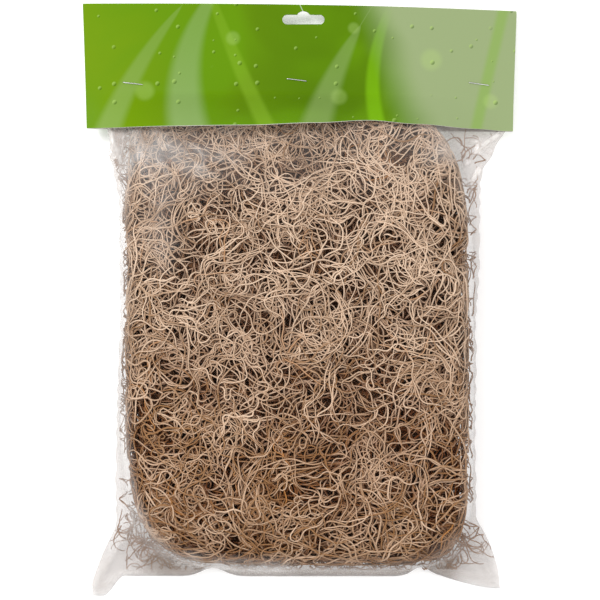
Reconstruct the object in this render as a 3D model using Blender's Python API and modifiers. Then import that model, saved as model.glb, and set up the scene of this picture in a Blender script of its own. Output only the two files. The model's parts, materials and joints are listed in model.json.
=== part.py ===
# A bag of dried Spanish moss: the tangled moss, the clear bag that holds it,
# the folded header card and the three staples that close the bag.
# The pack lies on its back. Units are metres, +Z is up, +Y runs towards the card,
# and the origin is on the surface, under the middle of the pack.

import math
import random

import bmesh
import bpy
import numpy as np
from mathutils import Matrix, Vector

# Header card
CARD_WIDTH = 0.292
CARD_TOP = 0.1993
CARD_PANEL = 0.0846
CARD_THICK = 0.0005
CARD_PLY_RISE = 0.00135
CARD_ARCH = 0.004
CARD_CURL = 0.006
CARD_CLEAR = 0.0004
HINGE_BELOW_STAPLES = 0.004
CARD_COLUMNS = 16
PANEL_ROWS = 6
FOLD_ROWS = 4
SLOT_WIDTH = 0.0283
SLOT_HEIGHT = 0.0065
SLOT_TOP_RADIUS = 0.0048
SLOT_TOP_LIFT = 0.0009
SLOT_RIGHT_OF_MIDDLE = 0.0023
SLOT_BELOW_FOLD = 0.0112
SLOT_CUTTER_HEIGHT = 0.012
SLOT_CUTTER_REACH = 0.02

# Clear bag
FILM_THICK = 0.0005
FILM_GAP = 0.0003
BAG_FLAT_HALF = 0.138
BAG_FILLED_HALF = 0.1195
BAG_SEAM = -0.1855
BAG_SEAL = 0.003
BAG_MOUTH = 0.171
EARS = {-1: (0.0225, 0.0138), 1: (0.0160, 0.0075)}
EAR_START = -0.145
EAR_REACH = 0.042
EAR_DROP_REACH = 0.038
EAR_SAG = 0.006
SHOULDER_START = 0.078
SHOULDER_REACH = 0.05
BASE_DROP = 1.03
FILM_ON_SLOPE = 1.3
ROWS_ABOVE_MOSS = (-0.0035, 0.0055, 0.0155)
BAG_COLUMNS = 9
BAG_ROWS = 10

# Moss bunch
MOSS_HALF_WIDTH = 0.1155
MOSS_HALF_LENGTH = 0.1555
MOSS_CENTRE = -0.0215
MOSS_RISE = 0.036
MOSS_ROOM = 0.0022
CORNER_POWER = 5
TOP_POWER = 2.8
BASE_POWER = 4
CORE_DETAIL = 4
CORE_DEPTH = 0.0092
RIDGE_PITCH = 0.026
RIDGE_HEIGHT = 0.003
RIDGE_WANDER = ((1.5, 0.021, 1.4, 0.033), (1.2, 0.027, 1.6, 0.024))
STRAND_RADIUS = 0.0015
STRAND_STEP = 0.0125
STRAND_POINTS = 11
STRAND_BENDS = (0.020, 0.050)
STRAND_TURNS_BACK = 0.45
STRAND_CLEAR = {"top": 0.0012, "edge": 0.0012, "base": 0.0003}
STRAND_BURIED = 0.0132
STRAND_TRIES = 30
STRAND_LAYERS = (0.0, 0.0035)
CROWD_REACH = 0.012
UNION_WELD = 0.0000001
STRAND_COUNTS = {"top": 21, "edge": 10, "base": 5}
SEED = 16

# Staples
STAPLE_PLACES = ((-0.112, 0.1449), (-0.0023, 0.1472), (0.120, 0.1449))
STAPLE_LINE = 0.1447
STAPLE_WIDTH = 0.0133
STAPLE_WIRE = 0.00035
STAPLE_FOOT = 0.0045
STAPLE_TURN = math.radians(-7)
STAPLE_BEND = 0.0006
STAPLE_PLAY = 0.0003
STAPLE_HOLE = 0.0008
STAPLE_HOLE_DEPTH = 0.009
STACK_HALF = CARD_PLY_RISE + CARD_THICK / 2

# Height of the plane where the bag's two sheets meet, and how full the moss is, along the pack
WEB_HEIGHTS = ((BAG_SEAM, 0.010), (-0.13, 0.020), (0.06, 0.020), (CARD_TOP, 0.010))
FULLNESS = ((0.00, 1.0), (0.06, 0.84), (0.1147, 0.50), (0.132, 0.28))


def smooth(t):
    t = min(max(t, 0.0), 1.0)
    return t * t * (3 - 2 * t)


def along(stations, y):
    """Value at y, eased from one (y, value) station to the next."""
    if y <= stations[0][0]:
        return stations[0][1]
    for (y0, v0), (y1, v1) in zip(stations, stations[1:]):
        if y <= y1:
            return v0 + (v1 - v0) * smooth((y - y0) / (y1 - y0))
    return stations[-1][1]


def clear_scene():
    for obj in list(bpy.data.objects):
        bpy.data.objects.remove(obj, do_unlink=True)


def collection(name, hidden=False):
    made = bpy.data.collections.new(name)
    made.hide_render = hidden
    bpy.context.scene.collection.children.link(made)
    return made


def material(name, colour, roughness, metallic=0.0, alpha=1.0):
    made = bpy.data.materials.new(name)
    made.use_nodes = True
    shader = made.node_tree.nodes["Principled BSDF"]
    shader.inputs["Base Color"].default_value = (*colour, 1)
    shader.inputs["Roughness"].default_value = roughness
    shader.inputs["Metallic"].default_value = metallic
    shader.inputs["Alpha"].default_value = alpha
    made.diffuse_color = (*colour, alpha)
    return made


def add_object(name, mesh, home, finish=None):
    obj = bpy.data.objects.new(name, mesh)
    home.objects.link(obj)
    if finish:
        mesh.materials.clear()
        mesh.materials.append(finish)
    return obj


def mesh_from_curve(obj):
    """A closed mesh of a curve object, with its caps welded, in world space. The curve is removed."""
    bpy.context.view_layer.update()
    evaluated = obj.evaluated_get(bpy.context.evaluated_depsgraph_get())
    mesh = bpy.data.meshes.new_from_object(evaluated)
    mesh.transform(obj.matrix_world)
    shape = bmesh.new()
    shape.from_mesh(mesh)
    bmesh.ops.remove_doubles(shape, verts=shape.verts, dist=1e-6)
    bmesh.ops.recalc_face_normals(shape, faces=shape.faces)
    shape.to_mesh(mesh)
    shape.free()
    bpy.data.objects.remove(obj, do_unlink=True)
    return mesh


def with_modifiers(obj):
    """The object with its modifiers applied."""
    bpy.context.view_layer.update()
    evaluated = obj.evaluated_get(bpy.context.evaluated_depsgraph_get())
    obj.data = bpy.data.meshes.new_from_object(evaluated)
    obj.modifiers.clear()
    return obj


def keep_main_skin(mesh):
    """Drops the small skins that a union leaves, which fills sealed hollows and clears loose scraps."""
    shape = bmesh.new()
    shape.from_mesh(mesh)
    bmesh.ops.triangulate(shape, faces=shape.faces, ngon_method="EAR_CLIP")
    bmesh.ops.remove_doubles(shape, verts=shape.verts, dist=UNION_WELD)
    waiting = set(shape.faces)
    skins = []
    while waiting:
        front = [waiting.pop()]
        skin = set(front)
        while front:
            for edge in front.pop().edges:
                for other in edge.link_faces:
                    if len(edge.link_faces) == 2 and other in waiting:
                        waiting.discard(other)
                        skin.add(other)
                        front.append(other)
        skins.append(skin)
    main = max(skins, key=len)
    loose = [face for skin in skins if skin is not main for face in skin]
    bmesh.ops.delete(shape, geom=loose, context="FACES")
    shape.to_mesh(mesh)
    shape.free()


def cut(obj, cutters, solver="EXACT"):
    boolean = obj.modifiers.new("cut", "BOOLEAN")
    boolean.operation = "DIFFERENCE"
    boolean.operand_type = "COLLECTION"
    boolean.collection = cutters
    boolean.solver = solver


# The pack's shape: the web is the plane where the two sheets of the bag meet

def web_height(x, y):
    ear = EAR_SAG * abs(x / BAG_FLAT_HALF) ** 3 * smooth((-0.12 - y) / 0.06)
    near_card = smooth((y - 0.08) / 0.06)
    arch = CARD_ARCH * (1 - (2 * x / CARD_WIDTH) ** 2) * near_card
    curl = CARD_CURL * smooth((x - 0.03) / 0.116) ** 1.5 * near_card
    return along(WEB_HEIGHTS, y) - ear + arch - curl


def web_normal(x, y):
    step = 0.002
    slope_x = (web_height(x + step, y) - web_height(x - step, y)) / (2 * step)
    slope_y = (web_height(x, y + step) - web_height(x, y - step)) / (2 * step)
    return Vector((-slope_x, -slope_y, 1)).normalized()


def spread(x, y, grow):
    """0 at the middle of the moss and 1 at its outline, seen from above."""
    across = abs(x) / (MOSS_HALF_WIDTH + grow)
    down = abs(y - MOSS_CENTRE) / (MOSS_HALF_LENGTH + grow)
    return (across ** CORNER_POWER + down ** CORNER_POWER) ** (1 / CORNER_POWER)


def bulge(x, y, power, grow):
    return max(0.0, 1 - min(spread(x, y, grow), 1.0) ** power) ** (1 / power)


def film_height(x, y, side):
    """Inner face of the top sheet (side 1) or of the bottom sheet (side -1)."""
    web = web_height(x, y)
    full = along(FULLNESS, y)
    if side > 0:
        return web + FILM_GAP + full * MOSS_RISE * bulge(x, y, TOP_POWER, MOSS_ROOM)
    drop = BASE_DROP * web * full * bulge(x, y, BASE_POWER, MOSS_ROOM)
    return max(web - FILM_GAP - drop, FILM_THICK)


def bag_half_width(y, hand):
    ear = EARS[hand][0] * smooth((EAR_START - y) / EAR_REACH) ** 1.5
    shoulder = (BAG_FLAT_HALF - BAG_FILLED_HALF) * smooth((y - SHOULDER_START) / SHOULDER_REACH)
    return BAG_FILLED_HALF + ear + shoulder


def bag_point(column, y, side, skin):
    """A point of the bag. Column runs from -1 at the left edge to 1 at the right, skin is 0 inside and 1 outside."""
    hand = -1 if column < 0 else 1
    x = bag_half_width(y, hand) * column
    low = y - EARS[hand][1] * abs(column) ** 4 * smooth((EAR_START - y) / EAR_DROP_REACH)
    if abs(column) == 1:
        return Vector((x + skin * hand * FILM_THICK, low, web_height(x, low)))
    inner = Vector((x, low, film_height(x, low, side)))
    if not skin:
        return inner
    step = 0.0004
    run_x = film_height(x + step, low, side) - film_height(x - step, low, side)
    run_y = film_height(x, low + step, side) - film_height(x, low - step, side)
    normal = Vector((-run_x / (2 * step), -run_y / (2 * step), 1)).normalized() * side
    outer = inner + normal * FILM_THICK
    outer.z = max(outer.z, 0.0)
    return outer


def bag_ring(y, skin):
    columns = [math.sin(math.pi / 2 * i / BAG_COLUMNS) for i in range(-BAG_COLUMNS, BAG_COLUMNS + 1)]
    front = [bag_point(c, y, 1, skin) for c in columns]
    back = [bag_point(c, y, -1, skin) for c in reversed(columns[1:-1])]
    return front + back


def seam_ring(y, skin):
    """A ring whose top and bottom points are the same, which closes the bag at its seam."""
    ring = bag_ring(y, 0)
    for i in (0, 2 * BAG_COLUMNS):
        ring[i].x += skin * math.copysign(FILM_THICK, ring[i].x)
    for point in ring:
        point.z = web_height(point.x, point.y)
    return ring


def loft(shape, rings):
    """Joins rings of points by quads and gives back each ring's vertices."""
    rows = [[shape.verts.new(point) for point in ring] for ring in rings]
    for low, high in zip(rows, rows[1:]):
        for i in range(len(low)):
            j = (i + 1) % len(low)
            shape.faces.new((low[i], low[j], high[j], high[i]))
    return rows


def build_bag(home, cutters, finish):
    """One closed body: an outer and an inner skin, joined round the open mouth, with the seal solid."""
    reach = MOSS_HALF_LENGTH + MOSS_ROOM
    rows = [MOSS_CENTRE + reach * math.sin(math.pi / 2 * i / BAG_ROWS) for i in range(-BAG_ROWS, BAG_ROWS + 1)]
    rows += [STAPLE_LINE + step for step in ROWS_ABOVE_MOSS] + [BAG_MOUTH]
    seam = BAG_SEAM + BAG_SEAL
    shape = bmesh.new()
    inner = loft(shape, [seam_ring(seam, 0)] + [bag_ring(y, 0) for y in rows])
    outer = loft(shape, [seam_ring(BAG_SEAM, 1), bag_ring(seam, 1)] + [bag_ring(y, 1) for y in rows])
    for i in range(len(inner[-1])):
        j = (i + 1) % len(inner[-1])
        shape.faces.new((inner[-1][i], inner[-1][j], outer[-1][j], outer[-1][i]))
    bmesh.ops.remove_doubles(shape, verts=shape.verts, dist=1e-6)
    bmesh.ops.recalc_face_normals(shape, faces=shape.faces)
    mesh = bpy.data.meshes.new("clear_bag")
    shape.to_mesh(mesh)
    shape.free()
    mesh.shade_smooth()
    bag = add_object("clear_bag", mesh, home, finish)
    cut(bag, cutters, "MANIFOLD")
    return bag


# Header card

def panel_slope(x, side):
    """How steeply a panel leaves the web below the staples, so that it just clears the bag."""
    hinge = STAPLE_LINE - HINGE_BELOW_STAPLES
    low = CARD_TOP - CARD_PANEL
    half_column = CARD_WIDTH / CARD_COLUMNS / 2
    room = FILM_THICK * FILM_ON_SLOPE + CARD_CLEAR + CARD_THICK / 2
    needed = 0.0
    for i in range(1, 13):
        y = hinge + (low - hinge) * i / 12
        for beside in (x - half_column, x, x + half_column):
            sheet = film_height(beside, y, side) + side * room
            ply = web_height(beside, y) + side * CARD_PLY_RISE
            needed = max(needed, side * (sheet - ply) / (hinge - y))
    return needed


def card_height(x, y, side):
    hinge = STAPLE_LINE - HINGE_BELOW_STAPLES
    lift = panel_slope(x, side) * max(0.0, hinge - y)
    return web_height(x, y) + side * (CARD_PLY_RISE + lift)


def card_point(x, row):
    """Row runs from the front panel's lower edge, over the fold, to the back panel's lower edge."""
    fold_y = CARD_TOP - STACK_HALF
    low = CARD_TOP - CARD_PANEL
    if row <= PANEL_ROWS:
        y = low + (fold_y - low) * row / PANEL_ROWS
        return Vector((x, y, card_height(x, y, 1)))
    if row >= PANEL_ROWS + FOLD_ROWS:
        y = low + (fold_y - low) * (2 * PANEL_ROWS + FOLD_ROWS - row) / PANEL_ROWS
        return Vector((x, y, card_height(x, y, -1)))
    angle = math.pi * (0.5 - (row - PANEL_ROWS) / FOLD_ROWS)
    centre = web_height(x, fold_y)
    return Vector((x, fold_y + CARD_PLY_RISE * math.cos(angle), centre + CARD_PLY_RISE * math.sin(angle)))


def build_card(home, cutters, finish):
    rows = 2 * PANEL_ROWS + FOLD_ROWS
    bpy.ops.mesh.primitive_grid_add(x_subdivisions=CARD_COLUMNS, y_subdivisions=rows, size=2)
    card = bpy.context.object
    card.name = card.data.name = "header_card"
    for vertex in card.data.vertices:
        x = vertex.co.x * CARD_WIDTH / 2
        row = round((vertex.co.y + 1) / 2 * rows)
        vertex.co = card_point(x, row)
    card.data.flip_normals()
    for holder in list(card.users_collection):
        holder.objects.unlink(card)
    home.objects.link(card)
    card.data.materials.append(finish)
    wall = card.modifiers.new("card stock", "SOLIDIFY")
    wall.thickness = CARD_THICK
    wall.offset = 0
    cut(card, cutters)
    return card


def slot_outline():
    """The hang slot: a rounded bar with a half-round top in its middle, as points in order."""
    end = SLOT_HEIGHT / 2
    reach = SLOT_WIDTH / 2 - end
    points = []
    for i in range(7):
        angle = -math.pi / 2 + math.pi * i / 6
        points.append((reach + end * math.cos(angle), end * math.sin(angle)))
    start = math.asin((end - SLOT_TOP_LIFT) / SLOT_TOP_RADIUS)
    for i in range(9):
        angle = start + (math.pi - 2 * start) * i / 8
        points.append((SLOT_TOP_RADIUS * math.cos(angle), SLOT_TOP_LIFT + SLOT_TOP_RADIUS * math.sin(angle)))
    for i in range(7):
        angle = math.pi / 2 + math.pi * i / 6
        points.append((-reach + end * math.cos(angle), end * math.sin(angle)))
    return points


def build_slot_cutter(home):
    curve = bpy.data.curves.new("slot", "CURVE")
    curve.dimensions = "2D"
    curve.fill_mode = "BOTH"
    curve.extrude = SLOT_CUTTER_REACH
    outline = slot_outline()
    spline = curve.splines.new("POLY")
    spline.points.add(len(outline) - 1)
    for point, (x, y) in zip(spline.points, outline):
        point.co = (x, y, 0, 1)
    spline.use_cyclic_u = True
    guide = add_object("slot_outline", curve, home)
    guide.location = (SLOT_RIGHT_OF_MIDDLE, CARD_TOP - SLOT_BELOW_FOLD, SLOT_CUTTER_HEIGHT)
    cutter = add_object("slot_cutter", mesh_from_curve(guide), home)
    cutter.display_type = "WIRE"
    cutter.hide_render = True


# Staples

def staple_frame(place):
    """The staple's own axes on the web: X along the crown, Z out of the front."""
    x, y = place
    out = web_normal(x, y)
    side = Vector((math.cos(STAPLE_TURN), math.sin(STAPLE_TURN), 0))
    side = (side - out * side.dot(out)).normalized()
    frame = Matrix((side, out.cross(side), out)).transposed().to_4x4()
    frame.translation = Vector((x, y, web_height(x, y)))
    return frame


def build_staple(name, place, home, finish):
    leg = STAPLE_WIDTH / 2
    face = STACK_HALF + STAPLE_PLAY + STAPLE_WIRE
    foot = leg - STAPLE_FOOT
    path = [(-foot, -face - STAPLE_PLAY), (-leg + STAPLE_BEND, -face)]
    path += [(-leg, -face + STAPLE_BEND), (-leg, face - STAPLE_BEND), (-leg + STAPLE_BEND, face)]
    path += [(-x, z) for x, z in reversed(path)]
    curve = bpy.data.curves.new(name, "CURVE")
    curve.dimensions = "3D"
    curve.bevel_depth = STAPLE_WIRE
    curve.bevel_resolution = 1
    curve.use_fill_caps = True
    spline = curve.splines.new("POLY")
    spline.points.add(len(path) - 1)
    for point, (x, z) in zip(spline.points, path):
        point.co = (x, 0, z, 1)
    wire = add_object(name + "_wire", curve, home)
    wire.matrix_world = staple_frame(place)
    staple = add_object(name, mesh_from_curve(wire), home, finish)
    staple.data.name = name
    return staple


def build_leg_cutters(home):
    for place in STAPLE_PLACES:
        for hand in (-1, 1):
            bpy.ops.mesh.primitive_cylinder_add(vertices=6, radius=STAPLE_HOLE, depth=STAPLE_HOLE_DEPTH)
            cutter = bpy.context.object
            cutter.name = "leg_cutter"
            cutter.matrix_world = staple_frame(place) @ Matrix.Translation((hand * STAPLE_WIDTH / 2, 0, 0))
            for holder in list(cutter.users_collection):
                holder.objects.unlink(cutter)
            home.objects.link(cutter)
            cutter.display_type = "WIRE"
            cutter.hide_render = True


# Moss

def body_point(direction, depth):
    """A point of the moss under the bag's inner face, in a direction from its middle, sunk by depth."""
    across, down, up = direction
    power = TOP_POWER if up > 0 else BASE_POWER
    plan = (abs(across) ** CORNER_POWER + abs(down) ** CORNER_POWER) ** (power / CORNER_POWER)
    scale = (plan + abs(up) ** power) ** (-1 / power)
    x = (MOSS_HALF_WIDTH - depth) * across * scale
    y = MOSS_CENTRE + (MOSS_HALF_LENGTH - depth) * down * scale
    return Vector((x, y, height_at(x, y, up * scale, depth)))


def height_at(x, y, share, depth):
    web = web_height(x, y)
    full = along(FULLNESS, y)
    if share > 0:
        return web + share * (full * MOSS_RISE - depth)
    return max(web + share * (full * web - depth), FILM_THICK + depth)


def relief(point):
    """Height of the wound strands that cover the core, as rounded ridges that meander over it."""
    across, down = point.x + 0.6 * point.z, point.y - 0.4 * point.z
    swing, pitch, twist, turn = RIDGE_WANDER[0]
    wander = swing * math.sin(down / pitch + twist * math.sin(across / turn))
    swing, pitch, twist, turn = RIDGE_WANDER[1]
    wander += swing * math.cos(across / pitch + twist * math.sin(down / turn))
    phase = math.pi * (0.8 * across + 0.6 * down) / RIDGE_PITCH + wander
    return RIDGE_HEIGHT * (abs(math.sin(phase)) ** 0.6 - 0.5)


def build_core(home):
    bpy.ops.mesh.primitive_ico_sphere_add(subdivisions=CORE_DETAIL, radius=1)
    core = bpy.context.object
    core.name = core.data.name = "moss_bunch"
    for vertex in core.data.vertices:
        direction = vertex.co.normalized()
        vertex.co = body_point(direction, CORE_DEPTH - relief(body_point(direction, CORE_DEPTH)))
    for holder in list(core.users_collection):
        holder.objects.unlink(core)
    home.objects.link(core)
    return core


def strand_start(rng, zone, turn):
    """A direction from the middle of the moss, one of a set spread evenly over its top, underside or edge."""
    if zone == "edge":
        angle = 2 * math.pi * (turn * 0.618 % 1)
        return Vector((math.cos(angle), math.sin(angle), rng.uniform(-0.3, 0.5)))
    across = 1.8 * (turn * 0.7549 % 1) - 0.9 + rng.uniform(-0.06, 0.06)
    down = 1.8 * (turn * 0.5698 % 1) - 0.9 + rng.uniform(-0.06, 0.06)
    return Vector((across, down, 1 if zone == "top" else -1))


def strand_path(rng, zone, layer, turn):
    """A curl that comes up out of the core, winds over it at its layer's depth and dives back in."""
    direction = strand_start(rng, zone, turn)
    heading = Vector((rng.gauss(0, 1), rng.gauss(0, 1), rng.gauss(0, 0.2)))
    bend = rng.choice((-1, 1)) / rng.uniform(*STRAND_BENDS)
    turns_back = rng.random() < STRAND_TURNS_BACK
    ride = STRAND_RADIUS + STRAND_CLEAR[zone] + layer
    path = []
    for i in range(STRAND_POINTS):
        t = i / (STRAND_POINTS - 1)
        if turns_back and i == STRAND_POINTS // 2:
            bend = -bend
        sunk = (STRAND_BURIED - ride) * (1 - math.sin(math.pi * t) ** 0.3)
        here = body_point(direction, ride + sunk)
        path.append(here)
        step = 0.002
        side_a = body_point(direction + Vector((step, 0, 0)), 0) - body_point(direction, 0)
        side_b = body_point(direction + Vector((0, step, 0)), 0) - body_point(direction, 0)
        side_c = body_point(direction + Vector((0, 0, step)), 0) - body_point(direction, 0)
        normal = max((side_a.cross(side_b), side_b.cross(side_c), side_c.cross(side_a)), key=lambda v: v.length)
        if normal.dot(here - Vector((0, MOSS_CENTRE, web_height(0, MOSS_CENTRE)))) < 0:
            normal = -normal
        normal.normalize()
        heading = (heading - normal * heading.dot(normal)).normalized()
        heading.rotate(Matrix.Rotation(bend * STRAND_STEP, 3, normal))
        moved = here + heading * STRAND_STEP
        rise = MOSS_RISE if moved.z > web_height(moved.x, moved.y) else web_height(moved.x, moved.y)
        level = (moved.z - web_height(moved.x, moved.y)) / (rise * along(FULLNESS, moved.y))
        direction = Vector((moved.x / MOSS_HALF_WIDTH, (moved.y - MOSS_CENTRE) / MOSS_HALF_LENGTH, level))
    return path


def crowding(path, placed):
    """How much a path runs through the strands already placed."""
    if not placed:
        return 0
    here = np.array([p for a, b in zip(path, path[1:]) for p in (a, (a + b) / 2)])
    gaps = np.linalg.norm(here[:, None, :] - np.array(placed)[None, :, :], axis=2)
    return float(np.sum(np.clip(1 - gaps / CROWD_REACH, 0, 1)))


def strand_paths(rng):
    """The least crowded of a few tries, one strand after another, so that a layer's strands seldom cross."""
    paths = []
    for order, layer in enumerate(STRAND_LAYERS):
        placed = []
        for zone, count in STRAND_COUNTS.items():
            for i in range(count):
                turn = i + order / 2
                tries = [strand_path(rng, zone, layer, turn) for _ in range(STRAND_TRIES)]
                best = min(tries, key=lambda path: crowding(path, placed))
                paths.append(best)
                placed += [p for a, b in zip(best, best[1:]) for p in (a, (a + b) / 2)]
    return paths


def strand_section(home):
    """Three-sided section that every strand is swept from."""
    curve = bpy.data.curves.new("strand_section", "CURVE")
    curve.dimensions = "2D"
    spline = curve.splines.new("POLY")
    spline.points.add(2)
    for i, point in enumerate(spline.points):
        angle = 2 * math.pi * i / 3
        point.co = (STRAND_RADIUS * math.cos(angle), STRAND_RADIUS * math.sin(angle), 0, 1)
    spline.use_cyclic_u = True
    section = add_object("strand_section", curve, home)
    section.hide_render = True
    return section


def build_strand(path, section, home):
    curve = bpy.data.curves.new("strand", "CURVE")
    curve.dimensions = "3D"
    curve.bevel_mode = "OBJECT"
    curve.bevel_object = section
    curve.use_fill_caps = True
    spline = curve.splines.new("POLY")
    spline.points.add(len(path) - 1)
    for point, place in zip(spline.points, path):
        point.co = (*place, 1)
    return add_object("strand", mesh_from_curve(add_object("strand_path", curve, home)), home)


def build_moss(home, finish):
    """One body: a core of pressed moss, with curls that wind out of it all round."""
    rng = random.Random(SEED)
    guides = collection("strand_guides", hidden=True)
    strands = collection("strands", hidden=True)
    section = strand_section(guides)
    core = build_core(home)
    for path in strand_paths(rng):
        build_strand(path, section, strands)
    join = core.modifiers.new("tangle", "BOOLEAN")
    join.operation = "UNION"
    join.operand_type = "COLLECTION"
    join.collection = strands
    join.solver = "MANIFOLD"
    with_modifiers(core)
    keep_main_skin(core.data)
    core.data.materials.clear()
    core.data.materials.append(finish)
    for obj in list(strands.objects) + list(guides.objects):
        bpy.data.objects.remove(obj, do_unlink=True)
    return core


def main():
    clear_scene()
    pack = collection("spanish_moss_pack")
    leg_cutters = collection("staple_leg_cutters", hidden=True)
    card_cutters = collection("card_cutters", hidden=True)
    build_leg_cutters(leg_cutters)
    build_leg_cutters(card_cutters)
    build_slot_cutter(card_cutters)

    moss = material("dried_moss", (0.30, 0.20, 0.13), 0.9)
    film = material("clear_film", (0.86, 0.83, 0.81), 0.15, alpha=0.3)
    card = material("printed_card", (0.20, 0.36, 0.02), 0.4)
    steel = material("staple_wire", (0.6, 0.6, 0.62), 0.3, metallic=1.0)

    build_moss(pack, moss)
    build_bag(pack, leg_cutters, film)
    build_card(pack, card_cutters, card)
    for name, place in zip(("staple_left", "staple_middle", "staple_right"), STAPLE_PLACES):
        build_staple(name, place, pack, steel)


main()
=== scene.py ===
import json
import math

import bpy
import numpy as np
from mathutils import Matrix, Vector

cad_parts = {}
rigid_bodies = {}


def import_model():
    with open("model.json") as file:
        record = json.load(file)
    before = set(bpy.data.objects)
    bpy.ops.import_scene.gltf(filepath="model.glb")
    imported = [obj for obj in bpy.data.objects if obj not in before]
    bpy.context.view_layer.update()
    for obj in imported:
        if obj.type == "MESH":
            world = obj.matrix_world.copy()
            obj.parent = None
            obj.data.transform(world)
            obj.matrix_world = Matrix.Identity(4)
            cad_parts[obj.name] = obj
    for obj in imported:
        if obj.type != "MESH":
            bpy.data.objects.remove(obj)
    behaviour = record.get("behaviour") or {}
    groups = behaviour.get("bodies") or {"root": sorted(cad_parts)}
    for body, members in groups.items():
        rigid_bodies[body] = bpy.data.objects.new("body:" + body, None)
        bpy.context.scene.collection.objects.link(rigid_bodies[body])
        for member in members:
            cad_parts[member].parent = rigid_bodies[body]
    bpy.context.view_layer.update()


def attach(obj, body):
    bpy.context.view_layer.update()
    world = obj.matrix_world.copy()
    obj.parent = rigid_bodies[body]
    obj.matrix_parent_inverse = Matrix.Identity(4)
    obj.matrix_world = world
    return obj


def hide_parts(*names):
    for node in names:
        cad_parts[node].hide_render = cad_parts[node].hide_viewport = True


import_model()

# The pack's own shape, in metres. It lies on its back, +Y towards the card.
packShape = {
    "mossHalfWidth": 0.1160, "mossHalfLength": 0.1568, "mossCentre": (-0.0020, -0.0225), "mossRise": 0.036,
    "cornerPowers": {     # higher is squarer
        "topLeft": 8.0, "topRight": 4.2, "bottomLeft": 4.6, "bottomRight": 8.0,
    },
    "topPower": 2.8, "basePower": 4.0, "clearOfFloor": 0.0004,
    "seam": -0.1855, "cardTop": 0.1993, "cardPanel": 0.0846, "cardWidth": 0.292,
    "webHeights": ((-0.1855, 0.010), (-0.13, 0.020), (0.06, 0.020), (0.1993, 0.010)),
    "fullness": ((0.0, 1.0), (0.06, 0.84), (0.1147, 0.50), (0.132, 0.28)),
    "flatHalf": 0.138, "earSag": 0.006, "earFrom": 0.12, "arch": 0.004, "archFrom": 0.08, "bendReach": 0.06,
    "curl": 0.006, "curlFrom": 0.03, "curlReach": 0.116,
}


# Arithmetic shared by every piece, on single numbers or arrays

def ease(t):
    t = np.clip(t, 0.0, 1.0)
    return t * t * (3 - 2 * t)


def fadeIn(value, start, reach):     # 0 up to the start, then eased to 1 over the reach
    return ease((value - start) / reach)


def along(stations, y):     # value at y, eased from one station to the next
    value = np.full_like(np.asarray(y, float), stations[0][1])
    for (y0, v0), (y1, v1) in zip(stations, stations[1:]):
        value = value + (v1 - v0) * fadeIn(y, y0, y1 - y0)
    return value


def webHeight(x, y):     # the plane where the two sheets of the bag meet
    nearSeam = fadeIn(-y, packShape["earFrom"], packShape["bendReach"])
    nearCard = fadeIn(y, packShape["archFrom"], packShape["bendReach"])
    ear = packShape["earSag"] * np.abs(x / packShape["flatHalf"]) ** 3 * nearSeam
    arch = packShape["arch"] * (1 - (2 * x / packShape["cardWidth"]) ** 2) * nearCard
    curl = packShape["curl"] * fadeIn(x, packShape["curlFrom"], packShape["curlReach"]) ** 1.5 * nearCard
    return along(packShape["webHeights"], y) - ear + arch - curl


def fullness(y):     # share of the moss's full thickness at y
    return along(packShape["fullness"], y)


def closeUp(y):     # the moss's layers close up where the pack is thin
    return 0.25 + 0.75 * fullness(y)


def spread(x, y, grow=0.0):     # 0 in the middle of the moss, 1 at its outline
    centreX, centreY = packShape["mossCentre"]
    powers = packShape["cornerPowers"]
    upper = np.where(x > centreX, powers["topRight"], powers["topLeft"])
    lower = np.where(x > centreX, powers["bottomRight"], powers["bottomLeft"])
    power = np.where(y > centreY, upper, lower)
    across = np.abs(x - centreX) / (packShape["mossHalfWidth"] + grow)
    down = np.abs(y - centreY) / (packShape["mossHalfLength"] + grow)
    return (across ** power + down ** power) ** (1 / power)


def mossForm(points):     # 1 on the moss's outside, less inside
    x, y, z = points[:, 0], points[:, 1], points[:, 2]
    web = webHeight(x, y)
    full = fullness(y)
    above = z >= web
    room = np.where(above, full * packShape["mossRise"], np.maximum(full * web, 0.001))
    power = np.where(above, packShape["topPower"], packShape["basePower"])
    return (spread(x, y) ** power + (np.abs(z - web) / room) ** power) ** (1 / power)


def mossNormal(points):     # the way out of the moss at each point
    step = 0.0006
    slopes = []
    for axis in range(3):
        push = np.zeros(3)
        push[axis] = step
        slopes.append(mossForm(points + push) - mossForm(points - push))
    slopes = np.stack(slopes, axis=1)
    return slopes / np.maximum(np.linalg.norm(slopes, axis=1, keepdims=True), 1e-9)


def ontoMoss(points):     # slides points to the moss's outside, towards or away from its middle
    centre = np.array([*packShape["mossCentre"], 0.0])
    smallest = 0.05     # keeps a point near the middle from flying out
    for _ in range(3):
        centred = points - centre
        centred[:, 2] = points[:, 2] - webHeight(points[:, 0], points[:, 1])
        centred /= np.maximum(mossForm(points), smallest)[:, None]
        points = centred + centre
        points[:, 2] += webHeight(points[:, 0], points[:, 1])
    return points


def unit(vectors):     # each with a length of one
    return vectors / np.maximum(np.linalg.norm(vectors, axis=1, keepdims=True), 1e-9)


# Small helpers

def ownObject(name, data):
    piece = bpy.data.objects.new(name, data)
    bpy.context.scene.collection.objects.link(piece)
    return piece


def pickOnly(piece):
    bpy.ops.object.select_all(action="DESELECT")
    piece.select_set(True)
    bpy.context.view_layer.objects.active = piece


def readPoints(piece):
    flat = np.zeros(len(piece.data.vertices) * 3)
    piece.data.vertices.foreach_get("co", flat)
    return flat.reshape(-1, 3)


def movePoints(piece, points):
    piece.data.vertices.foreach_set("co", points.ravel())
    piece.data.update()


def paintPoints(piece, name, values):     # three numbers for each vertex, for the materials to read
    colours = piece.data.attributes.new(name, "FLOAT_COLOR", "POINT")
    colours.data.foreach_set("color", np.hstack([values, np.ones((len(values), 1))]).ravel())


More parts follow.
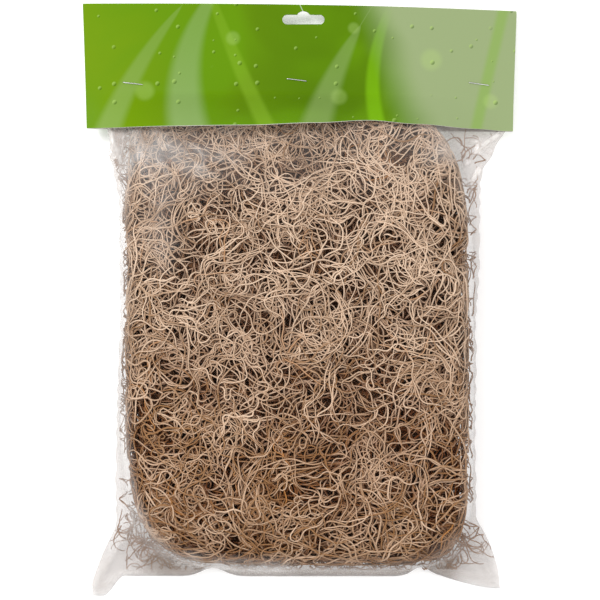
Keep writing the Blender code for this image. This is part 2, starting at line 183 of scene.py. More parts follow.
def applyModifier(piece, name):
    pickOnly(piece)
    bpy.ops.object.modifier_apply(modifier=name)


def weld(piece, distance):
    pickOnly(piece)
    bpy.ops.object.mode_set(mode="EDIT")
    bpy.ops.mesh.select_all(action="SELECT")
    bpy.ops.mesh.remove_doubles(threshold=distance)
    bpy.ops.object.mode_set(mode="OBJECT")


def settle(piece, slot, *nodes):     # the piece joins the pack and stands for its CAD nodes
    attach(piece, "root")
    if nodes:
        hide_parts(*nodes)
    print("made", piece.name, len(piece.data.polygons), "faces")


# Shader maths: an expression on Sum values adds its nodes

class Sum:
    def __init__(self, paint, socket):
        self.paint = paint
        self.socket = socket

    def math(self, operation, first, second=None):
        return self.paint.node("ShaderNodeMath", {"operation": operation}, {0: first, 1: second})

    def __add__(self, other):
        return self.math("ADD", self, other)

    def __radd__(self, other):
        return self.math("ADD", other, self)

    def __sub__(self, other):
        return self.math("SUBTRACT", self, other)

    def __rsub__(self, other):
        return self.math("SUBTRACT", other, self)

    def __mul__(self, other):
        return self.math("MULTIPLY", self, other)

    def __rmul__(self, other):
        return self.math("MULTIPLY", other, self)

    def __truediv__(self, other):
        return self.math("DIVIDE", self, other)

    def __pow__(self, other):
        return self.math("POWER", self, other)

    def above(self, other):
        return self.math("MAXIMUM", self, other)

    def below(self, other):
        return self.math("MINIMUM", self, other)

    def size(self):
        return self.math("ABSOLUTE", self)

    def ramp(self, low, high, start=0.0, end=1.0):     # eased from start to end between low and high
        settings = {"interpolation_type": "SMOOTHSTEP"}
        return self.paint.node("ShaderNodeMapRange", settings, {0: self, 1: low, 2: high, 3: start, 4: end})


class Paint:
    def __init__(self, name, roughness, **fixed):
        self.material = bpy.data.materials.new(name)
        self.material.use_nodes = True
        self.tree = self.material.node_tree
        self.shader = self.tree.nodes["Principled BSDF"]
        self.shader.inputs["Roughness"].default_value = roughness
        for socket, value in fixed.items():
            self.shader.inputs[socket].default_value = value

    def node(self, kind, settings=None, sockets=None, output=0):
        made = self.tree.nodes.new(kind)
        for key, value in (settings or {}).items():
            setattr(made, key, value)
        for key, value in (sockets or {}).items():
            self.give(made.inputs[key], value)
        return Sum(self, made.outputs[output])

    def give(self, socket, value):
        if isinstance(value, Sum):
            self.tree.links.new(value.socket, socket)
        elif value is not None:
            socket.default_value = value

    def place(self):
        return self.node("ShaderNodeTexCoord", output="Object")

    def split(self, vector):
        apart = self.node("ShaderNodeSeparateXYZ", sockets={0: vector}).socket.node
        return [Sum(self, socket) for socket in apart.outputs]

    def stretch(self, vector, factors):
        return self.node("ShaderNodeVectorMath", {"operation": "MULTIPLY"}, {0: vector, 1: factors})

    def noise(self, vector, scale, detail=2.0, twist=0.0):
        sockets = {"Vector": vector, "Scale": scale, "Detail": detail, "Distortion": twist}
        return self.node("ShaderNodeTexNoise", None, sockets)

    def attribute(self, name):
        return self.split(self.node("ShaderNodeAttribute", {"attribute_name": name}, output="Color"))

    def blend(self, factor, first, second):
        first, second = [colour if isinstance(colour, Sum) else (*colour, 1) for colour in (first, second)]
        return self.node("ShaderNodeMix", {"data_type": "RGBA"}, {0: factor, 6: first, 7: second}, output=2)

    def bump(self, height, strength, distance):
        sockets = {"Height": height, "Strength": strength, "Distance": distance}
        self.give(self.shader.inputs["Normal"], self.node("ShaderNodeBump", None, sockets))

    def use(self, socket, value):
        self.give(self.shader.inputs[socket], value)


# Camera, light and floor

studio = {
    "height": 2.4, "seenWidth": 0.4, "seenLevel": 0.03,
    "keyPlace": (-0.9, 0.7, 1.5), "keySize": 0.7, "keyPower": 22,
    "fillPlace": (1.1, -0.5, 1.6), "fillSize": 1.4, "fillPower": 12,
    "sky": 0.75, "floor": (0.93, 0.93, 0.93), "floorGlow": 0.25, "floorSize": 12, "floorDrop": 0.0002,
}


def setCamera():
    camera = bpy.data.cameras.new("camera")
    holder = ownObject("camera", camera)
    holder.location = (0, 0, studio["height"])
    camera.lens = camera.sensor_width * (studio["height"] - studio["seenLevel"]) / studio["seenWidth"]
    bpy.context.scene.camera = holder


def softLight(name, place, size, power):
    light = bpy.data.lights.new(name, "AREA")
    light.shape = "DISK"
    light.size = size
    light.energy = power
    lamp = ownObject(name, light)
    lamp.location = place
    lamp.rotation_euler = (-Vector(place)).to_track_quat("-Z", "Y").to_euler()


def setStudio():
    softLight("keyLight", studio["keyPlace"], studio["keySize"], studio["keyPower"])
    softLight("fillLight", studio["fillPlace"], studio["fillSize"], studio["fillPower"])
    world = bpy.data.worlds.new("studio")
    bpy.context.scene.world = world
    world.use_nodes = True
    sky = world.node_tree.nodes["Background"]
    sky.inputs["Color"].default_value = (1, 1, 1, 1)
    sky.inputs["Strength"].default_value = studio["sky"]
    bpy.context.scene.view_settings.view_transform = "Standard"
    bpy.ops.mesh.primitive_plane_add(size=studio["floorSize"], location=(0, 0, -studio["floorDrop"]))
    floor = bpy.context.object
    floor.name = "floor"
    paper = Paint("floorPaper", 0.9)
    paper.use("Base Color", (*studio["floor"], 1))
    paper.use("Emission Color", (1, 1, 1, 1))
    paper.use("Emission Strength", studio["floorGlow"])
    floor.data.materials.append(paper.material)
    print("studio is set")


# Moss: a dark heart, the pack's inner body painted near black as the shade deep in the tangle, and layers of
# threads that wind over it. Threads grow in groups: some run side by side as a bundle, others fan out from
# one point.

moss = {
    "seed": 7, "perGroup": 4, "threadSides": 3, "clear": 0.0005, "lowestThread": 0.0012,
    "heartDepth": 0.0088, "heartLumps": 0.0016, "lowestHeart": 0.0020,
    "strewTurns": (0.7549, 0.5698, 0.6180), "strewPlay": 0.02, "strewReach": 0.99, "onTop": 0.70,
    "squareness": 5, "edgeLayer": "mossEdgeTangle", "edgeRise": 0.75,
    "levelShare": 0.15, "levelShareLow": 0.7, "besides": 0.0015, "fannedApart": 0.0004,
    "bundleFan": 0.05, "fan": 0.75, "behind": (0, 0.012), "phases": (0, 6.3), "swings": (2, 9),
    "flutters": (10, 27), "leanBend": 0.25, "swingBend": 0.9, "flutterBend": 0.95, "hooked": 0.3,
    "weaves": (4, 14), "weaveDepth": (0.0002, 0.0012), "endDive": 0.004,
    "clumpTone": 0.16, "toneLift": 0.15, "toneLow": 0.34,
    # painted shade: threads below a set depth darken towards the sunk colours, standing in for the shade in
    # the tangle
    "shadeFrom": 0.0018, "shadeOver": 0.0062, "shadeMost": 0.97, "orangeGroups": 0.06, "orangeThreads": 0.35,
    "colours": {
        "dark": (0.24, 0.130, 0.062), "pale": (0.72, 0.545, 0.405), "orange": (0.50, 0.21, 0.05),
        "sunkShadeGrey": (0.185, 0.088, 0.048), "sunkShadeRed": (0.145, 0.038, 0.007),
        # the heart's colours are painted shade: near-black browns for the depths of the tangle
        "heartShadeDark": (0.014, 0.005, 0.002), "heartShadeBrown": (0.060, 0.022, 0.008),
        "heartShadeStrand": (0.230, 0.110, 0.052),
    },
    # the deep tangle takes darker tones and the outer layers paler ones: partly painted shade, partly tone
    # that differs at random
    "layers": {
        "mossDeepTangle": {
            "depth": (0.0050, 0.0082), "groups": 240, "points": 18, "step": 0.0042,
            "width": (0.0013, 0.0018), "radius": (0.009, 0.030), "bundles": 0.5, "tone": (0.0, 0.6),
        },
        "mossEdgeTangle": {
            "depth": (0.0006, 0.0034), "groups": 140, "points": 24, "step": 0.0026,
            "width": (0.0011, 0.0016), "radius": (0.006, 0.020), "bundles": 0.3, "tone": (0.1, 0.85),
        },
        "mossMidTangle": {
            "depth": (0.0028, 0.0052), "groups": 310, "points": 25, "step": 0.0026,
            "width": (0.0012, 0.0017), "radius": (0.006, 0.019), "bundles": 0.5, "tone": (0.1, 0.9),
        },
        "mossOuterCurls": {
            "depth": (0.0008, 0.0034), "groups": 350, "points": 22, "step": 0.0020,
            "width": (0.0009, 0.0014), "radius": (0.0034, 0.010), "bundles": 0.30, "tone": (0.25, 1.0),
        },
        "mossLongStrands": {
            "depth": (0.0008, 0.0036), "groups": 250, "points": 30, "step": 0.0021,
            "width": (0.0010, 0.0015), "radius": (0.0075, 0.022), "bundles": 0.5, "tone": (0.3, 1.0),
        },
    },
}


def mossStarts(draw, count, atEdge):     # places all over the moss, or round its edge, and ways to set off
    centreX, centreY = packShape["mossCentre"]
    topPower, squareness = packShape["topPower"], moss["squareness"]
    turnAcross, turnDown, turnSide = moss["strewTurns"]     # spread evenly, so that no large gap stays open
    turns = np.arange(count)[:, None] * [turnAcross, turnDown] + draw.random(2)
    turns += draw.uniform(-moss["strewPlay"], moss["strewPlay"], (count, 2))
    flat = (turns % 1 * 2 - 1) * moss["strewReach"]
    side = np.where(turns[:, 0] * turnSide % 1 < moss["onTop"], 1.0, -1.0)
    ring = (np.abs(flat) ** squareness).sum(axis=1) ** (1 / squareness)
    rise = np.clip(1 - ring ** topPower, 0.02, 1) ** (1 / topPower)
    if atEdge:
        angle = turns[:, 0] * 2 * np.pi
        flat = np.stack([np.cos(angle), np.sin(angle)], axis=1)
        flat /= (np.abs(flat) ** squareness).sum(axis=1, keepdims=True) ** (1 / squareness)
        rise = turns[:, 1] % 1 * moss["edgeRise"]
    x = centreX + flat[:, 0] * packShape["mossHalfWidth"]
    y = centreY + flat[:, 1] * packShape["mossHalfLength"]
    web = webHeight(x, y)
    room = np.where(side > 0, packShape["mossRise"], web) * fullness(y)
    points = ontoMoss(np.stack([x, y, web + side * rise * room], axis=1))
    low = fadeIn(-y, 0.06, 0.09)     # strands lie more level towards the bottom of the bag
    turn = draw.uniform(0, 2 * np.pi, count)
    level = draw.normal(0, 0.4, count) + np.pi * (draw.random(count) < 0.5)
    turn = np.where(draw.random(count) < moss["levelShare"] + moss["levelShareLow"] * low, level, turn)
    return points, np.stack([np.cos(turn), np.sin(turn), draw.normal(0, 0.2, count)], axis=1)


def walkStrands(points, headings, bends, depths, steps):     # each step turns by its bend, down at its depth
    path = np.zeros((len(points), bends.shape[1], 3))
    for i in range(bends.shape[1]):
        normal = mossNormal(points)
        headings = unit(headings - normal * np.sum(headings * normal, axis=1, keepdims=True))
        angle = bends[:, i:i + 1] * steps
        headings = headings * np.cos(angle) + np.cross(normal, headings) * np.sin(angle)
        path[:, i] = points - normal * (depths[:, i] * closeUp(points[:, 1]))[:, None]
        points = ontoMoss(points + headings * steps)
    path[:, :, 2] = np.maximum(path[:, :, 2], moss["lowestThread"])
    return path


def threadSection():     # a thread's section with a radius of one, which each thread scales
    bpy.ops.mesh.primitive_circle_add(vertices=moss["threadSides"], radius=1)
    bpy.ops.object.convert(target="CURVE")
    section = bpy.context.object
    section.name = "threadSection"
    return section


def threadPiece(name, paths, widths, looks, section):     # one mesh of many threads
    curve = bpy.data.curves.new(name, "CURVE")
    curve.dimensions = "3D"
    curve.bevel_mode = "OBJECT"
    curve.bevel_object = section
    curve.use_fill_caps = True
    for path, width in zip(paths, widths):
        spline = curve.splines.new("POLY")
        spline.points.add(len(path) - 1)
        spline.points.foreach_set("co", np.hstack([path, np.ones((len(path), 1))]).ravel())
        spline.points.foreach_set("radius", width / 2)
    piece = ownObject(name, curve)
    pickOnly(piece)
    bpy.ops.object.convert(target="MESH")
    piece = bpy.context.object
    sides = moss["threadSides"]     # the mesh lists all the caps first, the last thread's foremost
    caps = [np.repeat(look[[-1, 0]], sides, axis=0) for look in reversed(looks)]
    body = [np.repeat(look, sides, axis=0) for look in looks]
    paintPoints(piece, "look", np.concatenate(caps + body))
    weld(piece, 1e-7)
    bpy.ops.object.shade_smooth()
    return piece


def mossPaint():
    colours = moss["colours"]
    paint = Paint("driedMoss", 0.72, **{"Specular IOR Level": 0.08})
    tone, sunk, warm = paint.attribute("look")
    grain = paint.noise(paint.place(), 900, 2)
    tone = (tone + (grain - 0.5) * 0.5).above(0).below(1)
    thread = paint.blend(warm, paint.blend(tone, colours["dark"], colours["pale"]), colours["orange"])
    # painted shade: deep threads take these dark colours, redder where they are warm
    deepShade = paint.blend((warm * 6).below(1), colours["sunkShadeGrey"], colours["sunkShadeRed"])
    paint.use("Base Color", paint.blend(sunk, thread, deepShade))
    paint.use("Roughness", grain.ramp(0.2, 0.8, 0.62, 0.85))
    paint.bump(grain, 0.3, 0.0002)
    return paint.material


def heartPaint():
    # painted shade: the heart is coloured as the dark inside of the tangle, and its painted strands as deeper
    # threads in shade
    paint = Paint("mossHeart", 0.9, **{"Specular IOR Level": 0.05})
    place = paint.place()
    crumb = paint.noise(place, 420, 4, 0.6)
    colours = moss["colours"]
    colour = paint.blend(crumb.ramp(0.35, 0.7), colours["heartShadeDark"], colours["heartShadeBrown"])
    lines = []     # deeper strands in shade, painted as the level lines of a noise
    for scale, strength in ((95, 0.9), (130, 0.7), (170, 0.5)):
        lines.append((paint.noise(place, scale, 1, 1.2) - 0.5).size().ramp(0.008, 0.030, strength, 0))
    strands = lines[0].above(lines[1]).above(lines[2])
    paint.use("Base Color", paint.blend(strands, colour, colours["heartShadeStrand"]))
    paint.bump(strands + crumb * 0.4, 0.8, 0.0015)
    return paint.material


def makeHeart():
    bpy.ops.mesh.primitive_ico_sphere_add(subdivisions=6, radius=1)
    heart = bpy.context.object
    heart.name = heart.data.name = "mossHeart"
    centre = np.array([*packShape["mossCentre"], 0.0])
    halves = [packShape["mossHalfWidth"], packShape["mossHalfLength"], packShape["mossRise"]]
    points = readPoints(heart) * halves * 0.9 + centre     # a little inside, then out to the moss's own form
    points[:, 2] += webHeight(points[:, 0], points[:, 1])
    points = ontoMoss(points)
    lumps = moss["heartLumps"] * np.sin(points[:, 0] / 0.0043 + 2 * np.sin(points[:, 1] / 0.011))
    lumps += moss["heartLumps"] * np.sin(points[:, 1] / 0.0051 + 2 * np.sin(points[:, 0] / 0.013))
    points -= mossNormal(points) * ((moss["heartDepth"] + lumps) * closeUp(points[:, 1]))[:, None]
    points[:, 2] = np.maximum(points[:, 2], moss["lowestHeart"])
    movePoints(heart, points)
    bpy.ops.object.shade_smooth()
    heart.data.materials.append(heartPaint())
    settle(heart, "moss", "moss_bunch")


def mossClump(x, y):     # paler and darker patches, some 7 cm apart
    return np.sin(x / 0.0110 + 2 * np.sin(y / 0.0190)) * np.sin(y / 0.0125 + 2 * np.sin(x / 0.0230))


def makeMossLayer(name, plan, draw, section):
    groups, perGroup = plan["groups"], moss["perGroup"]
    single, shared = (groups * perGroup, 1), (groups, 1)     # one value for a thread, or for its group
    places, headings = mossStarts(draw, groups, name == moss["edgeLayer"])
    normals = mossNormal(places)
    headings = unit(headings - normals * np.sum(headings * normals, axis=1, keepdims=True))
    sides = np.cross(normals, headings)

    def each(values):     # the group's value for each of its threads
        return np.repeat(values, perGroup, axis=0)

    bundled = each(draw.random(shared) < plan["bundles"])
    member = np.tile(np.arange(perGroup) - (perGroup - 1) / 2, groups)[:, None]
    apart = np.where(bundled, moss["besides"], moss["fannedApart"]) * member * draw.uniform(0.7, 1.5, single)
    fan = np.where(bundled, moss["bundleFan"], moss["fan"]) * member + draw.normal(0, 0.05, single)
    behind = np.where(bundled, draw.uniform(*moss["behind"], single), 0)
    starts = each(places) + each(sides) * apart - each(headings) * behind
    headings = each(headings) * np.cos(fan) + each(sides) * np.sin(fan)

    share = np.linspace(0, 1, plan["points"])[None, :]     # of the way along the thread
    tight, loose = np.log(plan["radius"])
    radius = each(np.exp(draw.uniform(tight, loose, shared)))
    radius = np.where(bundled, radius, radius * draw.uniform(0.6, 1.6, single))
    swing = each(draw.uniform(*moss["phases"], shared)) + share * each(draw.uniform(*moss["swings"], shared))
    flutter = draw.uniform(*moss["phases"], single) + share * draw.uniform(*moss["flutters"], single)
    lean = each(draw.choice([-1.0, 1.0], shared))
    hook = draw.uniform(0, 1.6, single) * (draw.random(single) < moss["hooked"]) * share ** 3
    bends = moss["leanBend"] * lean + moss["swingBend"] * np.sin(swing)
    bends = (bends + moss["flutterBend"] * np.sin(flutter) + hook * lean) / radius

    level = each(draw.uniform(*plan["depth"], shared)) + draw.normal(0, 0.0003, single)
    weave = np.sin(draw.uniform(*moss["phases"], single) + share * draw.uniform(*moss["weaves"], single))
    dive = moss["endDive"] * np.abs(2 * share - 1) ** 6     # both ends sink into the tangle
    depths = level + draw.uniform(*moss["weaveDepth"], single) * weave + dive
    depths = np.maximum(depths, moss["clear"] + plan["width"][1] / 2)
    steps = plan["step"] * draw.uniform(0.6, 1.2, single)
    paths = walkStrands(ontoMoss(starts), headings, bends, depths, steps)

    width = draw.uniform(*plan["width"], single) * (1 - 0.5 * share ** 4)
    low = fadeIn(-paths[:, :, 1], -0.04, 0.18)     # darker and warmer towards the bottom of the bag
    tone = each(draw.uniform(*plan["tone"], shared)) + draw.normal(0, 0.12, single) + 0.15 * weave
    clump = moss["clumpTone"] * mossClump(paths[:, :, 0], paths[:, :, 1])
    tone += clump + moss["toneLift"] - moss["toneLow"] * low
    # painted shade: the deeper a thread lies, the further its colour goes to the dark shade colours
    sunk = ease((depths - moss["shadeFrom"] + 0.0006 * low) / moss["shadeOver"]) * moss["shadeMost"]
    orange = each(draw.random(shared) < moss["orangeGroups"]) * (draw.random(single) < moss["orangeThreads"])
    warm = 0.02 + 0.17 * low + orange * (0.30 + 0.30 * low)
    looks = np.stack([np.clip(tone, 0, 1), sunk, warm], axis=2)
    return threadPiece(name, paths, width, looks, section)


# Loose wisps, between the two sheets of film beside the moss

wisps = {
    "width": (0.0008, 0.0012), "points": 22, "step": 0.0011, "radius": (0.003, 0.011),
    # each wisp takes the moss's dark painted-shade colours by one fixed share along its length
    "inset": 0.0018, "lowest": -0.1815, "tone": 0.25, "sunk": 0.36, "warm": 0.1,
    "nests": (     # middle, spread, threads, way they lead
        ((-0.1010, -0.1610), (0.0040, 0.0027), 12, -2.3), ((-0.0900, -0.1680), (0.0060, 0.0022), 12, -2.8),
        ((-0.1130, -0.1420), (0.0030, 0.0040), 10, -2.0), ((-0.0720, -0.1740), (0.0100, 0.0020), 10, 3.0),
        ((-0.1165, 0.1090), (0.0035, 0.0035), 34, 2.4), ((-0.1175, 0.0920), (0.0022, 0.0060), 26, 2.2),
        ((-0.1172, 0.0600), (0.0018, 0.0130), 26, 1.6), ((-0.1168, -0.0400), (0.0018, 0.0500), 96, 1.6),
        ((0.1080, 0.0950), (0.0040, 0.0030), 9, 0.6), ((0.1135, 0.0600), (0.0012, 0.0120), 10, 1.6),
        ((0.1135, -0.0500), (0.0014, 0.0500), 60, 1.6), ((0.1080, -0.1620), (0.0030, 0.0040), 14, -0.8),
        ((0.0450, -0.1780), (0.0200, 0.0010), 30, -0.1), ((-0.0150, -0.1782), (0.0260, 0.0010), 36, 3.2),
        ((-0.1120, -0.1430), (0.0024, 0.0060), 10, -2.0), ((-0.1010, -0.1580), (0.0050, 0.0040), 10, -2.6),
        ((-0.0840, -0.1695), (0.0080, 0.0018), 12, 3.1), ((0.1075, -0.1590), (0.0026, 0.0060), 12, -1.2),
        ((0.0930, -0.1730), (0.0070, 0.0016), 12, -0.4),
    ),
}


def makeWisps(draw, section):
    paths, looks, widths = [], [], []
    share = np.linspace(0, 1, wisps["points"])
    for (middleX, middleY), (wide, long), count, way in wisps["nests"]:
        for _ in range(count):
            radius = draw.uniform(*wisps["radius"])
            turn = draw.choice([-1, 1]) * (0.6 + np.sin(draw.uniform(*moss["phases"]) + 5 * share)) / radius
            angle = way + draw.normal(0, 0.7) + np.cumsum(turn) * wisps["step"]
            x = middleX + draw.normal(0, wide) + np.cumsum(np.cos(angle)) * wisps["step"]
            y = middleY + draw.normal(0, long) + np.cumsum(np.sin(angle)) * wisps["step"]
            y = np.abs(y - wisps["lowest"]) + wisps["lowest"]     # turned back where the film ends
            left = filmHalf("left", y) - wisps["inset"]
            right = filmHalf("right", y) - wisps["inset"]
            x = right - np.abs(right - (np.abs(x + left) - left))
            z = webHeight(x, y) + filmWrinkle(x, y) + draw.uniform(0, 0.8) * filmPocket(x, y)
            paths.append(np.stack([x, y, z], axis=1))
            widths.append(draw.uniform(*wisps["width"]) * (1 - 0.5 * share))
            tone = wisps["tone"] * (1 + np.sin(4 * share))
            looks.append(np.stack([tone, wisps["sunk"] + 0 * share, wisps["warm"] + 0 * share], axis=1))
    return threadPiece("looseWisps", paths, widths, looks, section)


# Clear film: two sheets that lie on the moss, and are welded at the sides and along the bottom

film = {
    "columns": 100, "rows": 170, "mouth": 0.171, "room": 0.0022, "gap": 0.0003, "thick": 0.0003,
    "wrinkles": {"fan": 0.0010, "shoulder": 0.0009, "margin": 0.0005, "seam": 0.0006, "notch": 0.0021},
    "swell": 0.0003, "fold": 0.00035, "ragged": 0.0005, "creaseBow": 0.0012,
    # painted shade on the film beside the moss, deepest on the strip along the bottom, where the moss's
    # shadow falls
    "shades": {"beside": 0.54, "ears": 0.12, "stripShadow": 0.36},
    # haze: the film's milkiness with a painted sheen, stronger along the moss's left rim than its right
    "haze": {"topLeft": 0.55, "top": 0.25, "leftRim": 0.85, "rightRim": 0.35},
    # film colours: the first two are painted shade, grey-brown beside the moss and darker on the bottom strip
    # under the moss's shadow; the last is the pale colour of painted sheen and glints
    "colours": {"thinShade": (0.41, 0.35, 0.32), "thick": (0.23, 0.170, 0.130), "milkySheen": (0.90, 0.87, 0.84)},
    "earStart": 0.145,
    "ears": {     # drop, and where across the film it starts, its reach and power
        "left": (0.0138, 0.850, 0.105, 1.0), "right": (0.0088, 0.700, 0.300, 0.6),
    },
    "leftEdge": (     # place along the pack and half width there
        (-0.1855, 0.1388), (-0.1795, 0.1406), (-0.1750, 0.1392), (-0.1700, 0.1364), (-0.1650, 0.1335),
        (-0.1600, 0.1299), (-0.1550, 0.1259), (-0.1495, 0.1226), (-0.1440, 0.1230), (-0.1200, 0.1233),
        (-0.0933, 0.1227), (-0.0667, 0.1222), (-0.0333, 0.1210), (-0.0200, 0.1200), (0.0200, 0.1203),
        (0.0667, 0.1205), (0.0733, 0.1222), (0.0867, 0.1247), (0.1000, 0.1282), (0.1067, 0.1268),
        (0.1133, 0.1280), (0.1300, 0.1370),
    ),
    "rightEdge": (
        (-0.1850, 0.1347), (-0.1740, 0.1335), (-0.1633, 0.1290), (-0.1550, 0.1240), (-0.1467, 0.1178),
        (-0.1200, 0.1177), (-0.0933, 0.1170), (-0.0333, 0.1180), (-0.0200, 0.1170), (0.0200, 0.1200),
        (0.0733, 0.1203), (0.0867, 0.1217), (0.0933, 0.1262), (0.1000, 0.1300), (0.1067, 0.1330),
        (0.1133, 0.1378), (0.1300, 0.1380),
    ),
    "notches": ((-0.0585, 0.0056, 0.0105), (0.0815, 0.0062, 0.0080)),     # place, rise and half width
    "creases": (     # from, to, half width and rise of the sharp folds
        ((0.1330, 0.1110), (0.1010, 0.0840), 0.0017, 0.0012),
        ((0.1215, 0.1090), (0.1180, 0.0790), 0.0015, 0.0009),
        ((0.1290, 0.0990), (0.1120, 0.1080), 0.0014, 0.0010),
        ((0.1190, 0.0860), (0.1080, 0.0600), 0.0016, 0.0008),
        ((-0.1260, 0.1120), (-0.1170, 0.0800), 0.0014, 0.0009),
        ((-0.1270, 0.0960), (-0.1130, 0.1060), 0.0014, 0.0009),
        ((-0.1400, -0.1950), (-0.1150, -0.1500), 0.0018, 0.0011),
        ((-0.1380, -0.1930), (-0.0850, -0.1800), 0.0018, 0.0009),
        ((-0.1330, -0.1800), (-0.1230, -0.1300), 0.0015, 0.0008),
        ((-0.1250, -0.1880), (-0.1020, -0.1690), 0.0014, 0.0007),
        ((0.1330, -0.1900), (0.1130, -0.1620), 0.0018, 0.0011),
        ((0.1310, -0.1890), (0.0900, -0.1790), 0.0016, 0.0009),
        ((0.1280, -0.1760), (0.1170, -0.1400), 0.0015, 0.0008),
        ((-0.0585, -0.1800), (-0.0400, -0.1760), 0.0013, 0.0008),
        ((0.0815, -0.1795), (0.1000, -0.1740), 0.0013, 0.0008),
    ),
    "veils": (     # place, reach across and along, and strength of milky patches, painted sheen on the film
        ((-0.1020, 0.1000), (0.024, 0.0045), 0.9), ((-0.0700, 0.0900), (0.020, 0.0100), 0.35),
        ((-0.1130, -0.1480), (0.006, 0.0180), 0.5), ((0.1000, -0.1650), (0.012, 0.0070), 0.4),
        ((-0.0950, 0.0500), (0.014, 0.0300), 0.30), ((0.0950, 0.0980), (0.014, 0.0080), 0.35),
    ),
    "pockets": (     # place, reach and lift where the film stands off the web
        ((-0.1030, -0.1660), 0.014, 0.0018), ((-0.1180, 0.1000), 0.014, 0.0018),
        ((0.1120, 0.0980), 0.014, 0.0022), ((0.0400, -0.1770), 0.022, 0.0010),
        ((-0.0300, -0.1780), 0.022, 0.0010),
    ),
}


def filmPocket(x, y):
    lift = 0.0 * x
    for (middleX, middleY), reach, height in film["pockets"]:
        lift = lift + height * np.exp(-((x - middleX) ** 2 + (y - middleY) ** 2) / reach ** 2)
    return lift


def filmOutside(x, y):     # 0 over the moss and 1 beside it
    return fadeIn(spread(x, y, film["room"]), 0.985, 0.05)


def filmCreases(x, y):
    height = 0.0 * x
    for (fromX, fromY), (toX, toY), half, rise in film["creases"]:
        runX, runY = toX - fromX, toY - fromY
        share = np.clip(((x - fromX) * runX + (y - fromY) * runY) / (runX ** 2 + runY ** 2), 0, 1)
        bow = film["creaseBow"] * np.sin(share * 7)
        beside = np.hypot(x - fromX - share * runX + bow, y - fromY - share * runY)
        height += rise * np.exp(-(beside / half) ** 2) * fadeIn(-share, -1, 0.3)
    return height


def filmWrinkle(x, y):     # both sheets ride up and down together beside the moss
    height = filmCreases(x, y)
    heights = film["wrinkles"]
    for hand, side in (("left", -1), ("right", 1)):
        tipX = side * film[hand + "Edge"][0][1]
        tipY = packShape["seam"] - film["ears"][hand][0]
        angle = np.arctan2(y - tipY, (x - tipX) * -side)
        reach = np.hypot(x - tipX, y - tipY)
        fan = np.sin(13 * angle + 1.3 * np.sin(6 * angle + side)) + 0.5 * np.sin(29 * angle + reach * 40)
        height += heights["fan"] * fan * fadeIn(reach, 0, 0.030) * fadeIn(-reach, -0.085, 0.045)
        shoulder = fadeIn(x * side, 0.098, 0.02) * fadeIn(y, 0.070, 0.02) * fadeIn(-y, -0.128, 0.012)
        diagonal = (x * side + 0.8 * y) / 0.0062 + 1.2 * np.sin(y / 0.009)
        height += heights["shoulder"] * shoulder * np.sin(diagonal)
        margin = fadeIn(x * side, 0.112, 0.006) * fadeIn(-y, -0.075, 0.02) * fadeIn(y, -0.15, 0.02)
        height += heights["margin"] * margin * np.sin(y / 0.0021 + 2.2 * np.sin(y / 0.0137) + side)
    seamNear = fadeIn(-y, 0.172, 0.008) * fadeIn(-np.abs(x), -0.112, 0.02)
    height += heights["seam"] * seamNear * np.sin(x / 0.0039 + 2.4 * np.sin(x / 0.017))
    for middle, _, _ in film["notches"]:
        lean = x - middle - 0.25 * (y - packShape["seam"])
        height += heights["notch"] * np.exp(-(lean / 0.0032) ** 2) * fadeIn(-y, 0.166, 0.012)
    return height * filmOutside(x, y)


def filmDrape(x, y):     # the top sheet's soft swells over the moss, with folds near the card
    swell = np.sin(x / 0.0071 + 1.7 * np.sin(y / 0.0133)) * np.sin(y / 0.0083 + 1.5 * np.sin(x / 0.0117))
    nearCard = fadeIn(y, 0.07, 0.03)
    fold = np.sin((x * 0.35 + y) / 0.0052 + 1.4 * np.sin(x / 0.021)) * nearCard
    return film["swell"] * (1 + swell) + film["fold"] * (1 + fold) * nearCard


def filmHeight(x, y, side):     # inner face of the top sheet (side 1) or of the bottom sheet (side -1)
    web = webHeight(x, y)
    inside = np.minimum(spread(x, y, film["room"]), 1)
    power = packShape["topPower"] if side > 0 else packShape["basePower"]
    dome = np.maximum(1 - inside ** power, 0) ** (1 / power)
    if side > 0:
        lift = fullness(y) * packShape["mossRise"] * dome + filmDrape(x, y) * ease(dome / 0.3)
        return web + film["gap"] + lift + filmPocket(x, y) + filmWrinkle(x, y)
    drop = 1.03 * web * fullness(y) * dome + filmPocket(x, y)
    return np.maximum(web - film["gap"] - drop + filmWrinkle(x, y), packShape["clearOfFloor"])


def filmHalf(hand, y):     # half width on one hand, with its corners eased
    places, widths = zip(*film[hand + "Edge"])
    return sum(np.interp(y + step, places, widths) for step in (-0.003, -0.001, 0.001, 0.003)) / 4


def filmPlan(across, down):     # place in plan of a point of the sheet, both from -1 to 1
    column = np.sin(across * np.pi / 2)
    y = packShape["seam"] + (film["mouth"] - packShape["seam"]) * (down + 1) / 2
    width = np.where(column < 0, filmHalf("left", y), filmHalf("right", y))
    ragged = film["ragged"] * np.sin(y / 0.0019 + 2 * np.sin(y / 0.0113)) * fadeIn(y, -0.15, 0.02)
    x = (width + ragged) * column
    drops = []
    for hand in ("left", "right"):
        drop, start, reach, power = film["ears"][hand]
        drops.append(drop * fadeIn(np.abs(column), start, reach) ** power)
    low = y - np.where(column < 0, *drops) * fadeIn(-y, film["earStart"], 0.038)
    for middle, rise, half in film["notches"]:
        low = low + rise * np.exp(-((x - middle) / half) ** 2) * fadeIn(-y, 0.170, 0.0155)
    return x, low


